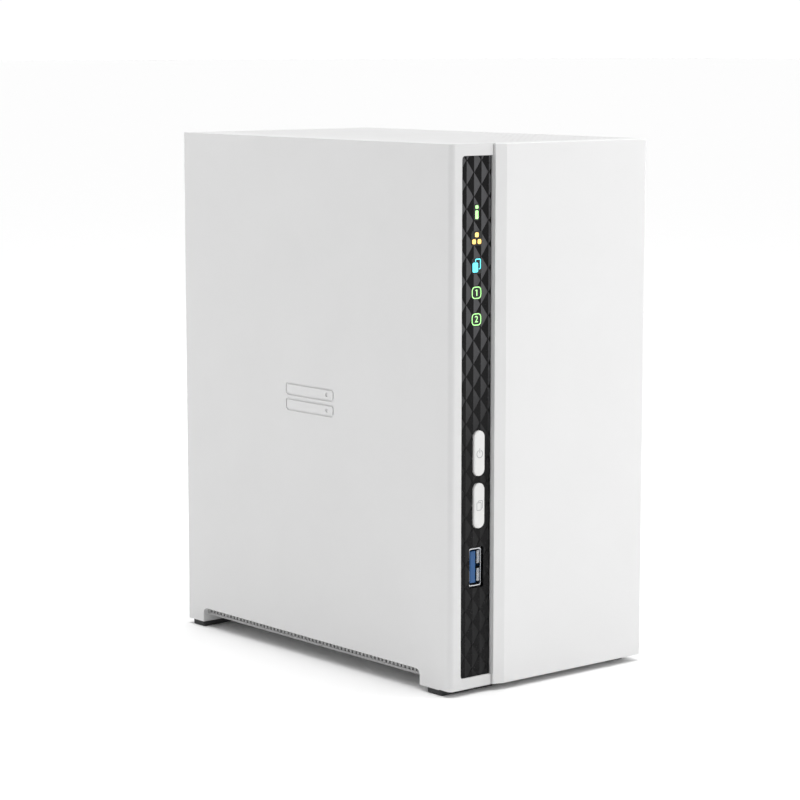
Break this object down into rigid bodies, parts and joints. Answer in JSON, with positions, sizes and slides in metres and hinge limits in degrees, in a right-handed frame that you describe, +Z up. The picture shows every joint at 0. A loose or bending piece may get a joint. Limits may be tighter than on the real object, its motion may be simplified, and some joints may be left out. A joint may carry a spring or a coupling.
{
  "type": "network attached storage",
  "caption": "Upright desktop network storage unit with a dark status strip, push buttons, a pull-off bay door, drive trays, a perforated top and a rear fan.",
  "frame": {"origin": "centre of the bounding box's underside, on the surface that the feet stand on", "axes": "+Z up, -Y towards the front (the bay door), +X to the right seen from the front"},
  "size_m": [0.0902, 0.1562, 0.1886],
  "materials": {
    "white_shell": "fine moulded satin",
    "white_door": "smooth moulded satin",
    "strip_black": "moulded diamond relief",
    "status_smoke": "smoked, lit from behind",
    "light_clear": "clear acrylic",
    "rubber_black": "matt moulded rubber",
    "cage_steel": "zinc-plated sheet",
    "board_green": "solder mask on glass-epoxy board",
    "led_white": "moulded lamp body",
    "connector_black": "moulded",
    "connector_steel": "nickel-plated sheet",
    "usb_blue": "moulded",
    "heatsink_aluminium": "extruded",
    "cell_steel": "satin",
    "capacitor_can": "drawn can",
    "fan_black": "moulded",
    "stator_copper": "enamelled winding",
    "bearing_brass": "sintered",
    "screw_steel": "zinc-plated",
    "lead_black": "sleeved",
    "ribbon_grey": "flat cable",
    "tray_grey": "moulded",
    "lever_grey": "moulded",
    "drive_casting": "die-cast",
    "drive_lid": "plated",
    "button_white": "moulded satin",
    "reset_grey": "moulded"
  },
  "bodies": {
    "housing": {"left_cover": "white_shell", "right_cover": "white_shell", "top_grille": "white_shell", "front_frame": "white_shell", "strip_panel": "strip_black", "status_windows": "status_smoke", "light_guide": "light_clear", "base_plate": "white_shell", "front_foot_bar": "rubber_black", "rear_foot_bar": "rubber_black", "corner_foot_pads": "rubber_black", "rear_panel": "white_shell", "drive_cage": "cage_steel", "front_board": "board_green", "status_leds": "led_white", "tact_switches": "connector_black", "main_board": "board_green", "front_usb_shell": "connector_steel", "front_usb_tongue": "usb_blue", "soc_heatsink": "heatsink_aluminium", "memory_chips": "connector_black", "coin_cell": "cell_steel", "capacitors": "capacitor_can", "lan_port": "connector_steel", "rear_usb_shells": "connector_steel", "rear_usb_tongues": "connector_black", "dc_jack": "connector_black", "backplane": "board_green", "backplane_sockets": "connector_black", "board_joiner": "connector_black", "fan_frame": "fan_black", "fan_stator": "stator_copper", "fan_bearing": "bearing_brass", "fan_screws": "screw_steel", "case_screws": "screw_steel", "board_screws": "screw_steel", "fan_lead": "lead_black", "front_ribbon": "ribbon_grey"},
    "door": {"bay_door": "white_door"},
    "drive_tray_1": {"tray_1": "tray_grey", "lever_pin_1": "screw_steel", "drive_casting_1": "drive_casting", "drive_lid_1": "drive_lid", "drive_board_1": "board_green", "sata_adapter_1": "board_green", "drive_screws_1": "screw_steel"},
    "drive_tray_2": {"tray_2": "tray_grey", "lever_pin_2": "screw_steel", "drive_casting_2": "drive_casting", "drive_lid_2": "drive_lid", "drive_board_2": "board_green", "sata_adapter_2": "board_green", "drive_screws_2": "screw_steel"},
    "lever_1": {"tray_lever_1": "lever_grey"},
    "lever_2": {"tray_lever_2": "lever_grey"},
    "rotor": {"fan_rotor": "fan_black"},
    "power_key": {"power_button": "button_white"},
    "copy_key": {"copy_button": "button_white"},
    "reset_key": {"reset_button": "reset_grey"}
  },
  "joints": [
    {"name": "door_slide", "type": "slide", "parent": "housing", "child": "door", "axis": [0, -1, 0], "range_m": [0, 0.19]},
    {"name": "tray_1_slide", "type": "slide", "parent": "housing", "child": "drive_tray_1", "axis": [0, -1, 0], "range_m": [0, 0.118]},
    {"name": "tray_2_slide", "type": "slide", "parent": "housing", "child": "drive_tray_2", "axis": [0, -1, 0], "range_m": [0, 0.118]},
    {"name": "lever_1_hinge", "type": "hinge", "parent": "drive_tray_1", "child": "lever_1", "pos_m": [-0.0094, -0.07025, 0.098], "axis": [1, 0, 0], "range_deg": [0, 40]},
    {"name": "lever_2_hinge", "type": "hinge", "parent": "drive_tray_2", "child": "lever_2", "pos_m": [0.025, -0.07025, 0.098], "axis": [1, 0, 0], "range_deg": [0, 40]},
    {"name": "fan_spin", "type": "hinge", "parent": "housing", "child": "rotor", "pos_m": [0, 0.065, 0.14], "axis": [0, 1, 0], "continuous": true},
    {"name": "power_press", "type": "slide", "parent": "housing", "child": "power_key", "axis": [0, 1, 0], "range_m": [0, 0.0006], "stiffness_N_per_m": 800},
    {"name": "copy_press", "type": "slide", "parent": "housing", "child": "copy_key", "axis": [0, 1, 0], "range_m": [0, 0.0006], "stiffness_N_per_m": 800},
    {"name": "reset_press", "type": "slide", "parent": "housing", "child": "reset_key", "axis": [0, -1, 0], "range_m": [0, 0.0005], "stiffness_N_per_m": 600}
  ],
  "couplings": [
    {"joint": "tray_1_slide", "follows": "door_slide", "ratio": 0.62},
    {"joint": "tray_2_slide", "follows": "door_slide", "ratio": 0.62},
    {"joint": "lever_1_hinge", "follows": "door_slide", "rad_per_m": 3.67},
    {"joint": "lever_2_hinge", "follows": "door_slide", "rad_per_m": 3.67}
  ]
}
